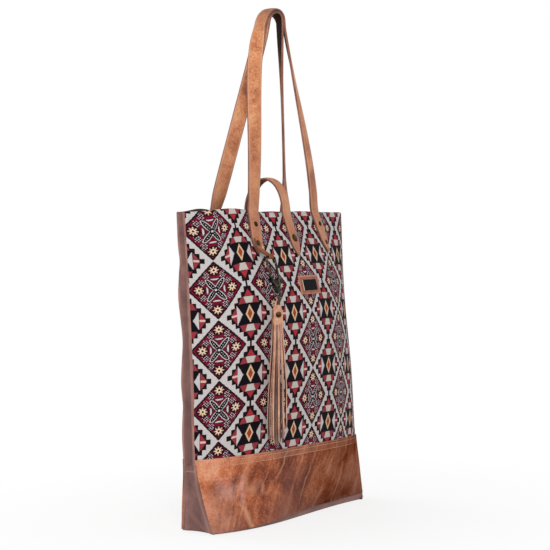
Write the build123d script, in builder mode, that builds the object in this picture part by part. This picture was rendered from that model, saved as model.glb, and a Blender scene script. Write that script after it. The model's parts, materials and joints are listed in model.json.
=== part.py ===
"""Shoulder tote bag: patterned cloth panels, leather base, two straps, closure tab and clip-on tassel.

The bag stands on the XY plane with its front towards -Y. The origin is under the middle of the base.
"""
import math
import os

from build123d import *

# Bag body
body_height = 432.0
body_width = 360.0
body_depth = 110.0
panel_thickness = 2.0
seam_gap = 0.3

# Leather base
base_rim_height = 7.0
base_edge = 2.5
band_height = 100.0
band_thickness = 1.8
band_lap = 8.0

# Side gussets, which taper with the gap between the seams
gusset_thickness = 1.8

# Shoulder straps
strap_width = 21.0
strap_thickness = 3.2
strap_spacing = 158.0
strap_lap = 58.0
strap_top_height = 722.0
strap_centre_x = 13.0
strap_meeting_y = 17.0
front_arch_radius = 28.0
back_arch_radius = 18.0
strap_nest_gap = 0.5

# Closure tab
tab_width = 20.0
tab_thickness = 3.0
tab_lap = 62.0
tab_rise = 47.0

# Rivets and snap
rivet_diameter = 8.0
rivet_height = 2.2
rivet_rim = 0.8
rivet_tip_distance = 13.0
rivet_pitch = 27.0
snap_diameter = 12.0
snap_height = 3.0
snap_tip_distance = 24.0
fastener_gap = 0.2

# Label patch
label_width = 50.0
label_height = 26.0
label_thickness = 1.6
label_centre_x = 22.0
label_drop = 103.0
label_inset_width = 33.0
label_inset_height = 15.0
label_inset_thickness = 0.8

# Tassel loop, snap hook and swivel
tassel_x = -79.0
tassel_panel_gap = 1.5
fold_width = 9.0
fold_thickness = 1.6
fold_clearance = 0.4
fold_foot_length = 15.0
fold_strap_gap = 0.9
hook_pivot_drop = 61.0
hook_lean = 17.0
hook_reach = 44.0
hook_bar_length = 10.4
hook_corner_radius = 3.6
hook_wire = 3.2
hook_mouth = 9.0
hook_body_height = 10.0
hook_body_thickness = 4.8
hook_lug_radius = 3.0
barrel_diameter = 8.6
barrel_height = 9.0
gate_wire = 2.8
gate_gap = 0.5
gate_pin_diameter = 1.8
gate_pin_clearance = 0.1
gate_slot = 2.2
gate_slot_clearance = 0.2
swivel_post_diameter = 3.6
swivel_clearance = 0.3
swivel_head_height = 1.6
swivel_head_overlap = 1.0
eye_wire = 2.6
eye_inner_height = 7.5
eye_corner_radius = 3.0

# Tassel
tassel_fold_drop = 8.0
wrap_diameter = 16.5
wrap_height = 24.0
wrap_thickness = 1.8
wrap_clearance = 0.3
tassel_rivet_turn = 40.0
fringe_length = 168.0
fringe_radius = 12.6
strand_width = 3.4
strand_thickness = 1.3
outer_strands = 12
inner_strands = 6

# Body form, level by level from the floor to the top edge
level_shares = (0.0, 0.10, 0.22, 0.46, 0.72, 1.0)
half_width_shares = (0.970, 1.000, 1.022, 1.005, 0.982, 0.992)
front_seam_shares = (-0.27, -0.16, -0.07, -0.02, 0.07, 0.14)
front_middle_shares = (-0.37, -0.40, -0.46, -0.49, -0.44, -0.06)
back_seam_shares = (0.22, 0.16, 0.12, 0.17, 0.23, 0.27)
back_middle_shares = (0.31, 0.36, 0.42, 0.52, 0.57, 0.53)
front_skew_shares = (0.09, 0.01, 0.01, 0.02, 0.04, 0.05)
crown_exponent = 2.7
skew_factor = 2.6

# Stations along a panel's width, a strap's foot and a tassel strand
across_shares = (-1.0, -0.78, -0.52, -0.26, 0.0, 0.26, 0.52, 0.78, 1.0)
patch_shares = (-1.0, -0.5, 0.0, 0.5, 1.0)
gusset_shares = (-1.0, -0.5, 0.0, 0.5, 1.0)
sink_shares = (0.0, 0.15, 0.22, 0.15, 0.0)
foot_shares = (0.0, 0.10, 0.24, 0.5, 0.76, 1.0)
foot_width_shares = (0.22, 0.66, 1.0, 1.0, 1.0, 1.0)
front_twist_shares = (0.0, 0.07, 0.14, 0.20, 0.26, 0.32, 0.38, 0.44, 0.52, 0.68, 1.0)
back_twist_shares = (0.0, 0.34, 0.42, 0.43, 0.44, 0.45, 0.46, 0.48, 0.52, 0.68, 1.0)
panel_levels = 13
band_levels = 5
gusset_levels = 8
patch_levels = 3
arch_stations = 12
tab_arch_stations = 16
strand_drop_shares = (-0.03, 0.25, 0.5, 1.0)
strand_spread_shares = (0.36, 0.78, 0.94, 0.95)
strand_width_shares = (0.6, 0.85, 1.0, 1.0)
inner_spread_share = 0.52

os.makedirs("parts", exist_ok=True)


def save(builder, name):
    """Label a finished piece and write it under its node's name."""
    builder.part.label = name
    export_step(builder.part, f"parts/{name}.step")


def at_height(shares, size, z):
    """Value of a level table at height z, on a smooth curve through its levels."""
    levels = [share * body_height for share in level_shares]
    values = [share * size for share in shares]
    last = len(levels) - 1
    slopes = []
    for i in range(last + 1):
        low = max(i - 1, 0)
        high = min(i + 1, last)
        slopes.append((values[high] - values[low]) / (levels[high] - levels[low]))
    i = 0
    while i < last - 1 and z > levels[i + 1]:
        i += 1
    span = levels[i + 1] - levels[i]
    s = (z - levels[i]) / span
    rise = 3 * s**2 - 2 * s**3
    start = s**3 - 2 * s**2 + s
    end = s**3 - s**2
    return values[i] + (values[i + 1] - values[i]) * rise + (slopes[i] * start + slopes[i + 1] * end) * span


def half_width(z):
    return at_height(half_width_shares, body_width / 2, z)


def front_seam(z):
    return at_height(front_seam_shares, body_depth, z)


def back_seam(z):
    return at_height(back_seam_shares, body_depth, z)


def front_surface(x, z):
    """Depth of the front panel's outer face."""
    t = x / half_width(z)
    seam = front_seam(z)
    middle = at_height(front_middle_shares, body_depth, z)
    skew = at_height(front_skew_shares, body_depth, z)
    return seam + (middle - seam) * (1 - abs(t)**crown_exponent) + skew * skew_factor * t * (1 - t**2)


def back_surface(x, z):
    """Depth of the back panel's outer face."""
    t = x / half_width(z)
    seam = back_seam(z)
    middle = at_height(back_middle_shares, body_depth, z)
    return seam + (middle - seam) * (1 - abs(t)**crown_exponent)


front = (front_surface, -1)
back = (back_surface, 1)


def level_list(bottom, top, count):
    return [bottom + (top - bottom) * i / (count - 1) for i in range(count)]


def sheet(side, heights, edges, inner, outer, shares):
    """A sheet between two offsets from a panel's outer face. edges gives its left and right X at a height."""
    surface, outward = side
    with BuildPart() as piece:
        for z in heights:
            left, right = edges(z)
            middle = (left + right) / 2
            reach = (right - left) / 2
            xs = [middle + reach * share for share in shares]
            near = [(x, surface(x, z) + outward * inner) for x in xs]
            far = [(x, surface(x, z) + outward * outer) for x in xs]
            with BuildSketch(Plane.XY.offset(z)):
                with BuildLine():
                    Spline(*near)
                    Line(near[-1], far[-1])
                    Spline(*reversed(far))
                    Line(far[0], near[0])
                make_face()
        loft()
    return piece


def panel(side, bottom, top, count, inner, outer):
    """A panel that runs from side seam to side seam between two heights."""

    def seams(z):
        return -half_width(z), half_width(z)

    return sheet(side, level_list(bottom, top, count), seams, inner, outer, across_shares)


def patch(side, centre_x, centre_z, width, height, inner, outer):
    """A small rectangular patch that follows a panel's face."""

    def sides(z):
        return centre_x - width / 2, centre_x + width / 2

    heights = level_list(centre_z - height / 2, centre_z + height / 2, patch_levels)
    return sheet(side, heights, sides, inner, outer, patch_shares)


def gusset(hand, bottom, top, count, seam_inset):
    """A side gusset that sinks in a little between the two side seams."""
    with BuildPart() as leaf:
        for z in level_list(bottom, top, count):
            edge = half_width(z)
            near = front_seam(z) + seam_inset
            far = back_seam(z) - seam_inset
            half_gap = (far - near) / 2
            middle = (near + far) / 2
            outer = [(edge - half_gap * sink, middle + half_gap * s) for s, sink in zip(gusset_shares, sink_shares)]
            inner = [(x - gusset_thickness, y) for x, y in outer]
            with BuildSketch(Plane.XY.offset(z)):
                with BuildLine():
                    Spline(*[(hand * x, y) for x, y in outer])
                    Line((hand * outer[-1][0], outer[-1][1]), (hand * inner[-1][0], inner[-1][1]))
                    Spline(*[(hand * x, y) for x, y in reversed(inner)])
                    Line((hand * inner[0][0], inner[0][1]), (hand * outer[0][0], outer[0][1]))
                make_face()
        loft()
    return leaf


def face_plane(side, x, z, lift):
    """Plane on a panel's outer face, raised by lift, with its normal pointing out and its Y axis up."""
    surface, outward = side
    step = panel_thickness
    slope_x = (surface(x + step, z) - surface(x - step, z)) / (2 * step)
    slope_z = (surface(x, z) - surface(x, z - step)) / step
    along = Vector(1, slope_x, 0)
    up = Vector(0, slope_z, 1)
    normal = along.cross(up).normalized() if outward < 0 else up.cross(along).normalized()
    return Plane(origin=Vector(x, surface(x, z), z) + normal * lift, x_dir=along * -outward, z_dir=normal)


def ribbon(rows, thickness):
    """A flat strap through rows of middle point, width direction and width, each square to the path."""
    last = len(rows) - 1
    with BuildPart() as strip:
        for i, (point, direction, width) in enumerate(rows):
            tangent = rows[min(i + 1, last)][0] - rows[max(i - 1, 0)][0]
            with BuildSketch(Plane(origin=point, x_dir=direction, z_dir=tangent)):
                Rectangle(width, thickness)
        loft(ruled=True)
    return strip


def strap_lean(arch_radius, arch_centre_z):
    """Lean of a strap's leg, which is tangent to the arch at its top."""
    rise = arch_centre_z - body_height
    reach = math.hypot(strap_spacing / 2, rise)
    return math.atan2(strap_spacing / 2, rise) - math.asin(arch_radius / reach)


def strap_foot(side, hand, lean, height, lift):
    """Plane across a strap's foot on its panel, at a height at or below the top edge."""
    x = strap_centre_x + hand * (strap_spacing / 2 + (body_height - height) * math.tan(lean))
    return face_plane(side, x, height, lift)


def turned(start, end, share):
    """Level direction part of the way round from one to another."""
    first = math.atan2(start.Y, start.X)
    sweep_angle = (math.atan2(end.Y, end.X) - first + math.pi) % (2 * math.pi) - math.pi
    angle = first + sweep_angle * share
    return Vector(math.cos(angle), math.sin(angle), 0)


def shoulder_strap(side, arch_radius, arch_top, twist_shares):
    """A strap whose two legs make a quarter twist each between the panel and the arch."""
    _, outward = side
    legs = len(twist_shares) - 1
    arch_z = arch_top - strap_thickness / 2 - arch_radius
    lean = strap_lean(arch_radius, arch_z)
    across_arch = Vector(0, 1, 0)

    def leg(hand):
        rows = []
        for share, width_share in zip(foot_shares, foot_width_shares):
            height = body_height - strap_lap * (1 - share)
            foot = strap_foot(side, hand, lean, height, seam_gap + strap_thickness / 2)
            rows.append((foot.origin, foot.x_dir * hand * -outward, strap_width * width_share))
        edge, edge_direction, _ = rows[-1]
        meeting = Vector(
            strap_centre_x + hand * arch_radius * math.cos(lean),
            strap_meeting_y,
            arch_z + arch_radius * math.sin(lean),
        )
        for i in range(1, legs + 1):
            direction = turned(edge_direction, across_arch, twist_shares[i])
            rows.append((edge + (meeting - edge) * i / legs, direction, strap_width))
        return rows

    rows = leg(1)
    for i in range(1, arch_stations):
        angle = lean + (math.pi - 2 * lean) * i / arch_stations
        x = strap_centre_x + arch_radius * math.cos(angle)
        point = Vector(x, strap_meeting_y, arch_z + arch_radius * math.sin(angle))
        rows.append((point, across_arch, strap_width))
    rows.extend(reversed(leg(-1)))
    return ribbon(rows, strap_thickness)


def rivet(diameter, height):
    """A domed rivet cap that sits on the XY plane."""
    radius = diameter / 2
    rise = height - rivet_rim
    dome_radius = (radius**2 + rise**2) / (2 * rise)
    half_angle = math.asin(radius / dome_radius) / 2
    crown = (dome_radius * math.sin(half_angle), height - dome_radius * (1 - math.cos(half_angle)))
    with BuildPart() as cap:
        with BuildSketch(Plane.XZ):
            with BuildLine():
                Line((0, 0), (radius, 0))
                Line((radius, 0), (radius, rivet_rim))
                ThreePointArc((radius, rivet_rim), crown, (0, height))
                Line((0, height), (0, 0))
            make_face()
        revolve(axis=Axis.Z)
    return cap.part


def rounded_bar_path(width, height, radius, open_length):
    """Half-open rounded frame in the XY plane: up the left side, along the top and down the right side."""
    half = width / 2
    Line((-half, -height), (-half, -radius))
    RadiusArc((-half, -radius), (-half + radius, 0), radius)
    Line((-half + radius, 0), (half - radius, 0))
    RadiusArc((half - radius, 0), (half, -radius), radius)
    Line((half, -radius), (half, -open_length))


# Cloth panels
fabric_bottom = band_height - band_lap
front_panel = panel(front, fabric_bottom, body_height, panel_levels, -panel_thickness, 0)
save(front_panel, "front_panel")
back_panel = panel(back, fabric_bottom, body_height, panel_levels, -panel_thickness, 0)
save(back_panel, "back_panel")

# Leather base bands, which lap over the lower edge of the cloth
band_bottom = base_rim_height + seam_gap
front_base_band = panel(front, band_bottom, band_height, band_levels, seam_gap, seam_gap + band_thickness)
save(front_base_band, "front_base_band")
back_base_band = panel(back, band_bottom, band_height, band_levels, seam_gap, seam_gap + band_thickness)
save(back_base_band, "back_base_band")

# Bottom panel, whose rim turns up to the lower seams over a rounded edge
with BuildPart() as bottom_panel:
    rim_out = seam_gap + band_thickness
    for z, inset in ((0, base_edge), (base_edge, 0), (base_rim_height, 0)):
        end = half_width(base_rim_height) - inset
        xs = [end * share for share in across_shares]
        front_rim = [(x, front_surface(x, base_rim_height) - rim_out + inset) for x in xs]
        back_rim = [(x, back_surface(x, base_rim_height) + rim_out - inset) for x in xs]
        with BuildSketch(Plane.XY.offset(z)):
            with BuildLine():
                Spline(*front_rim)
                Line(front_rim[-1], back_rim[-1])
                Spline(*reversed(back_rim))
                Line(back_rim[0], front_rim[0])
            make_face()
    loft(ruled=True)
save(bottom_panel, "bottom_panel")

# Side gussets, each in an upper and a lower piece
upper_inset = panel_thickness + seam_gap
for hand, word in ((-1, "left"), (1, "right")):
    upper_gusset = gusset(hand, fabric_bottom, body_height, gusset_levels, upper_inset)
    save(upper_gusset, f"{word}_gusset")
    lower_gusset = gusset(hand, band_bottom, fabric_bottom - seam_gap, band_levels, 0)
    save(lower_gusset, f"{word}_base_gusset")

# Shoulder straps, nested at the top with the front strap outside
back_strap_top = strap_top_height - strap_thickness - strap_nest_gap
front_shoulder_strap = shoulder_strap(front, front_arch_radius, strap_top_height, front_twist_shares)
save(front_shoulder_strap, "front_shoulder_strap")
back_shoulder_strap = shoulder_strap(back, back_arch_radius, back_strap_top, back_twist_shares)
save(back_shoulder_strap, "back_shoulder_strap")

# Closure tab, over the mouth from the front panel to the back panel
tab_lift = seam_gap + tab_thickness / 2
tab_front_rows = []
tab_back_rows = []
for share, width_share in zip(foot_shares, foot_width_shares):
    height = body_height - tab_lap * (1 - share)
    foot = face_plane(front, strap_centre_x, height, tab_lift)
    tab_front_rows.append((foot.origin, foot.x_dir, tab_width * width_share))
    foot = face_plane(back, strap_centre_x, height, tab_lift)
    tab_back_rows.append((foot.origin, -foot.x_dir, tab_width * width_share))
tab_start = tab_front_rows[-1]
tab_end = tab_back_rows[-1]
tab_rows = list(tab_front_rows)
for i in range(1, tab_arch_stations):
    share = i / tab_arch_stations
    along = (1 - math.cos(math.pi * share)) / 2
    level = tab_start[0] + (tab_end[0] - tab_start[0]) * along
    point = level + Vector(0, 0, tab_rise * math.sin(math.pi * share))
    tab_rows.append((point, turned(tab_start[1], tab_end[1], share), tab_width))
tab_rows.extend(reversed(tab_back_rows))
closure_tab = ribbon(tab_rows, tab_thickness)
save(closure_tab, "closure_tab")

# Closure snap on the front of the tab and rivet on its back
tab_top = seam_gap + tab_thickness + fastener_gap
snap_height_z = body_height - tab_lap + snap_tip_distance
with BuildPart() as closure_snap:
    with Locations(face_plane(front, strap_centre_x, snap_height_z, tab_top)):
        add(rivet(snap_diameter, snap_height))
save(closure_snap, "closure_snap")
with BuildPart() as closure_rivet:
    with Locations(face_plane(back, strap_centre_x, snap_height_z, tab_top)):
        add(rivet(rivet_diameter, rivet_height))
save(closure_rivet, "closure_rivet")

# Strap rivets, two through each end of a strap. The front left end's lower one holds the tassel's loop
strap_top = seam_gap + strap_thickness + fastener_gap
lower_rivet_z = body_height - strap_lap + rivet_tip_distance
upper_rivet_z = lower_rivet_z + rivet_pitch
front_lean = strap_lean(front_arch_radius, strap_top_height - strap_thickness / 2 - front_arch_radius)
back_lean = strap_lean(back_arch_radius, back_strap_top - strap_thickness / 2 - back_arch_radius)
rivet_planes = []
for side, lean in ((front, front_lean), (back, back_lean)):
    for hand in (-1, 1):
        for height in (lower_rivet_z, upper_rivet_z):
            if side is front and hand < 0 and height == lower_rivet_z:
                continue
            rivet_planes.append(strap_foot(side, hand, lean, height, strap_top))
with BuildPart() as strap_rivets:
    with Locations(*rivet_planes):
        add(rivet(rivet_diameter, rivet_height))
save(strap_rivets, "strap_rivets")

# Label patch with its plain inset
label_z = body_height - label_drop
label_inner = seam_gap
label_outer = label_inner + label_thickness
label_patch = patch(front, label_centre_x, label_z, label_width, label_height, label_inner, label_outer)
save(label_patch, "label_patch")
inset_inner = label_outer + fastener_gap
inset_outer = inset_inner + label_inset_thickness
label_inset = patch(
    front, label_centre_x, label_z, label_inset_width, label_inset_height, inset_inner, inset_outer
)
save(label_inset, "label_inset")

# Snap hook: the frame leans out from its pivot bar to a swivel barrel above the tassel's axis
tassel_rest_y = min(front_surface(tassel_x, share * body_height) for share in level_shares[1:-1])
tassel_y = tassel_rest_y - fringe_radius - tassel_panel_gap
lean = math.radians(hook_lean)
pivot_y = tassel_y + hook_reach * math.sin(lean)
pivot_z = body_height - hook_pivot_drop
pivot = Vector(tassel_x, pivot_y, pivot_z)
hook_plane = Plane(origin=pivot, x_dir=(1, 0, 0), z_dir=(0, -math.cos(lean), math.sin(lean)))
hook_width = hook_bar_length + 2 * hook_corner_radius
arm_x = hook_width / 2
body_top = -hook_reach + barrel_height / 2 + hook_body_height
barrel_z = pivot_z - hook_reach * math.cos(lean)
lug_y = body_top - hook_lug_radius
with BuildPart() as snap_hook_frame:
    with BuildLine(hook_plane) as hook_path:
        rounded_bar_path(hook_width, -body_top + hook_wire / 2, hook_corner_radius, hook_mouth)
    with BuildSketch(Plane(origin=hook_path.line @ 0, z_dir=hook_path.line % 0)):
        Circle(hook_wire / 2)
    sweep(path=hook_path.line)
    with BuildSketch(hook_plane):
        with BuildLine():
            Line((-arm_x - hook_wire / 2, body_top), (-arm_x + hook_wire / 2, body_top))
            ThreePointArc(
                (-arm_x + hook_wire / 2, body_top),
                (0, body_top - hook_body_height / 2),
                (arm_x - hook_lug_radius, body_top),
            )
            Line((arm_x - hook_lug_radius, body_top), (arm_x + hook_lug_radius, body_top))
            Line((arm_x + hook_lug_radius, body_top), (arm_x + hook_lug_radius, lug_y - hook_lug_radius))
            Line((arm_x + hook_lug_radius, lug_y - hook_lug_radius), (barrel_diameter / 2, -hook_reach))
            Line((barrel_diameter / 2, -hook_reach), (-barrel_diameter / 2, -hook_reach))
            Line((-barrel_diameter / 2, -hook_reach), (-arm_x - hook_wire / 2, lug_y))
            Line((-arm_x - hook_wire / 2, lug_y), (-arm_x - hook_wire / 2, body_top))
        make_face()
    extrude(amount=hook_body_thickness / 2, both=True)
    with BuildSketch(Plane.XY.offset(barrel_z - barrel_height / 2)):
        with Locations((tassel_x, tassel_y)):
            Circle(barrel_diameter / 2)
    extrude(amount=barrel_height)
    with BuildSketch(hook_plane):
        with Locations((arm_x, lug_y)):
            Rectangle(4 * hook_lug_radius, 2 * hook_lug_radius)
    extrude(amount=gate_slot / 2, both=True, mode=Mode.SUBTRACT)
    with BuildSketch(hook_plane):
        with Locations((arm_x, lug_y)):
            Circle(gate_pin_diameter / 2)
    extrude(amount=hook_body_thickness, both=True, mode=Mode.SUBTRACT)
    head_radius = swivel_post_diameter / 2 + swivel_head_overlap
    head_bottom = barrel_z + barrel_height / 2 - swivel_head_height - 2 * swivel_clearance
    with BuildSketch(Plane.XY.offset(barrel_z - barrel_height)):
        with Locations((tassel_x, tassel_y)):
            Circle(swivel_post_diameter / 2 + swivel_clearance)
    extrude(amount=2 * barrel_height, mode=Mode.SUBTRACT)
    with BuildSketch(Plane.XY.offset(head_bottom)):
        with Locations((tassel_x, tassel_y)):
            Circle(head_radius + swivel_clearance)
    extrude(amount=2 * barrel_height, mode=Mode.SUBTRACT)
save(snap_hook_frame, "snap_hook_frame")

# Sprung gate and its pin
with BuildPart() as hook_gate:
    gate_top = -hook_mouth - gate_gap
    with BuildSketch(hook_plane.offset(-gate_slot / 2 + gate_slot_clearance)):
        with Locations((arm_x, lug_y)):
            Circle(hook_lug_radius - gate_slot_clearance)
        with Locations((arm_x, (gate_top + lug_y) / 2)):
            Rectangle(gate_wire, gate_top - lug_y)
        with Locations((arm_x, lug_y)):
            Circle(gate_pin_diameter / 2 + gate_pin_clearance, mode=Mode.SUBTRACT)
    extrude(amount=gate_slot - 2 * gate_slot_clearance)
save(hook_gate, "hook_gate")
with BuildPart() as gate_pin:
    with BuildSketch(hook_plane.offset(-hook_body_thickness / 2)):
        with Locations((arm_x, lug_y)):
            Circle(gate_pin_diameter / 2)
    extrude(amount=hook_body_thickness)
save(gate_pin, "gate_pin")

# Leather loop on the strap's end: it hangs the hook's bar in a fold
loop_lift = seam_gap + strap_thickness + fold_strap_gap + fold_thickness
loop_face = face_plane(front, tassel_x, lower_rivet_z, loop_lift)
loop_normal = Vector(0, loop_face.z_dir.Y, loop_face.z_dir.Z)
loop_foot = Plane(origin=loop_face.origin, x_dir=(1, 0, 0), z_dir=loop_normal)
loop_low = loop_foot.origin - loop_foot.y_dir * fold_foot_length / 2
loop_high = loop_foot.origin + loop_foot.y_dir * fold_foot_length / 2
fold_bore = hook_wire / 2 + fold_clearance
side_plane = Plane(origin=(tassel_x, 0, 0), x_dir=(0, 1, 0), z_dir=(1, 0, 0))
with BuildPart() as tassel_strap_loop:
    with BuildSketch(side_plane):
        with BuildLine():
            Polyline((pivot.Y, pivot.Z), (loop_low.Y, loop_low.Z), (loop_high.Y, loop_high.Z))
        trace(line_width=2 * fold_thickness)
        with Locations((pivot.Y, pivot.Z)):
            Circle(fold_bore + fold_thickness)
        with Locations((pivot.Y, pivot.Z)):
            Circle(fold_bore, mode=Mode.SUBTRACT)
    extrude(amount=fold_width / 2, both=True)
save(tassel_strap_loop, "tassel_strap_loop")
with BuildPart() as loop_rivet:
    with Locations(loop_foot.offset(fold_thickness + fastener_gap)):
        add(rivet(rivet_diameter, rivet_height))
save(loop_rivet, "loop_rivet")

# Swivel eye: a headed post in the barrel and a frame for the tassel's fold
eye_top = barrel_z - barrel_height / 2 - swivel_clearance - eye_wire / 2
eye_bottom = eye_top - eye_inner_height - eye_wire
eye_width = fold_width + 2 * eye_corner_radius
eye_plane = Plane(origin=(tassel_x, tassel_y, eye_bottom), x_dir=(1, 0, 0), z_dir=(0, -1, 0))
with BuildPart() as swivel_eye:
    with BuildLine(eye_plane) as eye_path:
        FilletPolyline(
            (eye_width / 2, eye_top - eye_bottom),
            (eye_width / 2, 0),
            (-eye_width / 2, 0),
            (-eye_width / 2, eye_top - eye_bottom),
            radius=eye_corner_radius,
            close=True,
        )
    with BuildSketch(Plane(origin=eye_path.line @ 0, z_dir=eye_path.line % 0)):
        Circle(eye_wire / 2)
    sweep(path=eye_path.line)
    with BuildSketch(Plane.XY.offset(eye_top)):
        with Locations((tassel_x, tassel_y)):
            Circle(swivel_post_diameter / 2)
    extrude(amount=head_bottom + swivel_clearance - eye_top)
    with BuildSketch(Plane.XY.offset(head_bottom + swivel_clearance)):
        with Locations((tassel_x, tassel_y)):
            Circle(head_radius)
    extrude(amount=swivel_head_height)
save(swivel_eye, "swivel_eye")

# Tassel: a folded loop, a leather wrap with its rivet, and the cut fringe rolled inside it
wrap_top = eye_bottom - tassel_fold_drop
wrap_bottom = wrap_top - wrap_height
wrap_bore = wrap_diameter / 2 - wrap_thickness
core_radius = wrap_bore - wrap_clearance
core_top = (wrap_top + wrap_bottom) / 2
eye_bore = eye_wire / 2 + fold_clearance
with BuildPart() as tassel_fold:
    with BuildSketch(side_plane):
        fold_bottom = core_top + seam_gap
        with Locations((tassel_y, (eye_bottom + fold_bottom) / 2)):
            Rectangle(2 * fold_thickness, eye_bottom - fold_bottom)
        with Locations((tassel_y, eye_bottom)):
            Circle(eye_bore + fold_thickness)
        with Locations((tassel_y, eye_bottom)):
            Circle(eye_bore, mode=Mode.SUBTRACT)
    extrude(amount=fold_width / 2, both=True)
save(tassel_fold, "tassel_fold")
with BuildPart() as tassel_wrap:
    with BuildSketch(Plane.XY.offset(wrap_bottom)):
        with Locations((tassel_x, tassel_y)):
            Circle(wrap_diameter / 2)
            Circle(wrap_bore, mode=Mode.SUBTRACT)
    extrude(amount=wrap_height)
save(tassel_wrap, "tassel_wrap")
with BuildPart() as tassel_rivet:
    rivet_centre = Vector(tassel_x, tassel_y, wrap_top - wrap_height / 2)
    rivet_facing = Vector(0, -1, 0).rotate(Axis.Z, -tassel_rivet_turn)
    rivet_seat = rivet_centre + rivet_facing * (wrap_diameter / 2 + fastener_gap)
    with Locations(Plane(origin=rivet_seat, z_dir=rivet_facing)):
        add(rivet(rivet_diameter, rivet_height))
save(tassel_rivet, "tassel_rivet")


def strand(angle, spread):
    """One strand of the fringe: it leaves the rolled core, spreads and then hangs straight."""
    outward = Vector(math.cos(angle), math.sin(angle), 0)
    across = Vector(-math.sin(angle), math.cos(angle), 0)
    root = Vector(tassel_x, tassel_y, wrap_bottom)
    rows = []
    for drop, reach, width in zip(strand_drop_shares, strand_spread_shares, strand_width_shares):
        point = root + outward * (fringe_radius * reach * spread) - Vector(0, 0, fringe_length * drop)
        rows.append((point, across, strand_width * width))
    return ribbon(rows, strand_thickness).part


with BuildPart() as tassel_fringe:
    with BuildSketch(Plane.XY.offset(wrap_bottom)):
        with Locations((tassel_x, tassel_y)):
            Circle(core_radius)
    extrude(amount=core_top - wrap_bottom)
    for i in range(outer_strands):
        add(strand(2 * math.pi * i / outer_strands, 1.0))
    for i in range(inner_strands):
        add(strand(2 * math.pi * (i + 0.5) / inner_strands, inner_spread_share))
save(tassel_fringe, "tassel_fringe")
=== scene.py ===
"""Looks of the tote bag: woven cloth, leather base, straps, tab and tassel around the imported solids."""
import json
import math
import random
from functools import partialmethod

import bpy
import numpy as np
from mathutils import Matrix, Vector


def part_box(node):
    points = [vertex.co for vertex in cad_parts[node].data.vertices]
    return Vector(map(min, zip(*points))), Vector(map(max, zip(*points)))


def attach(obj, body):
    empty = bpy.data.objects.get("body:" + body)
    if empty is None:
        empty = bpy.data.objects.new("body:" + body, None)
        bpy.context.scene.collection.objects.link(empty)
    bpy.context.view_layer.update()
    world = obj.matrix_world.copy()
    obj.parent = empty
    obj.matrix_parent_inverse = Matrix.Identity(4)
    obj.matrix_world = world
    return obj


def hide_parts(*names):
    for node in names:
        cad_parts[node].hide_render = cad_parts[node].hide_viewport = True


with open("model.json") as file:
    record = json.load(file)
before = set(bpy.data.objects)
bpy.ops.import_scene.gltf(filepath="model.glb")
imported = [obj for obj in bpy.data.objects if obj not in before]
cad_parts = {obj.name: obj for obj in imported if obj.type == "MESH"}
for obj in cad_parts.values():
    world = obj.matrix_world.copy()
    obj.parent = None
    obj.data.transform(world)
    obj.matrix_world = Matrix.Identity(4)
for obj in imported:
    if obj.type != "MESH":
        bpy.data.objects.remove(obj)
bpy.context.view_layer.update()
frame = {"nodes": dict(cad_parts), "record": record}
nodes = frame["nodes"]

MM = 0.001

# Sizes of the bag, in millimetres, as in the part's source
body_height = 432.0
body_width = 360.0
body_depth = 110.0
panel_thickness = 2.0
seam_gap = 0.3
base_rim_height = 7.0
band_height = 100.0
band_thickness = 1.8
band_lap = 8.0
gusset_thickness = 1.8
gusset_sink = 0.22
strap_width = 21.0
strap_thickness = 3.2
strap_spacing = 158.0
strap_lap = 58.0
strap_top_height = 722.0
strap_centre_x = 13.0
strap_meeting_y = 17.0
front_arch_radius = 28.0
back_arch_radius = 18.0
strap_nest_gap = 0.5
tab_width = 20.0
tab_thickness = 3.0
tab_lap = 62.0
tab_rise = 47.0
label_width = 50.0
label_height = 26.0
label_thickness = 1.6
label_centre_x = 22.0
label_drop = 103.0
label_inset_width = 33.0
label_inset_height = 15.0
label_inset_thickness = 0.8
fastener_gap = 0.2
tassel_x = -79.0
fringe_length = 168.0
fold_width = 9.0
fold_thickness = 1.6
fold_clearance = 0.4
fold_foot_length = 15.0
fold_strap_gap = 0.9
rivet_tip_distance = 13.0
hook_bar_radius = 1.6
eye_bar_radius = 1.3
tassel_fold_drop = 8.0

level_shares = (0.0, 0.10, 0.22, 0.46, 0.72, 1.0)
half_width_shares = (0.970, 1.000, 1.022, 1.005, 0.982, 0.992)
front_seam_shares = (-0.27, -0.16, -0.07, -0.02, 0.07, 0.14)
front_middle_shares = (-0.37, -0.40, -0.46, -0.49, -0.44, -0.06)
back_seam_shares = (0.22, 0.16, 0.12, 0.17, 0.23, 0.27)
back_middle_shares = (0.31, 0.36, 0.42, 0.52, 0.57, 0.53)
front_skew_shares = (0.09, 0.01, 0.01, 0.02, 0.04, 0.05)
crown_exponent = 2.7
skew_factor = 2.6
front_twist_shares = (0.0, 0.07, 0.14, 0.20, 0.26, 0.32, 0.38, 0.44, 0.52, 0.68, 1.0)
back_twist_shares = (0.0, 0.34, 0.42, 0.43, 0.44, 0.45, 0.46, 0.48, 0.52, 0.68, 1.0)

fabric_bottom = band_height - band_lap
band_bottom = base_rim_height + seam_gap
label_z = body_height - label_drop

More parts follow.
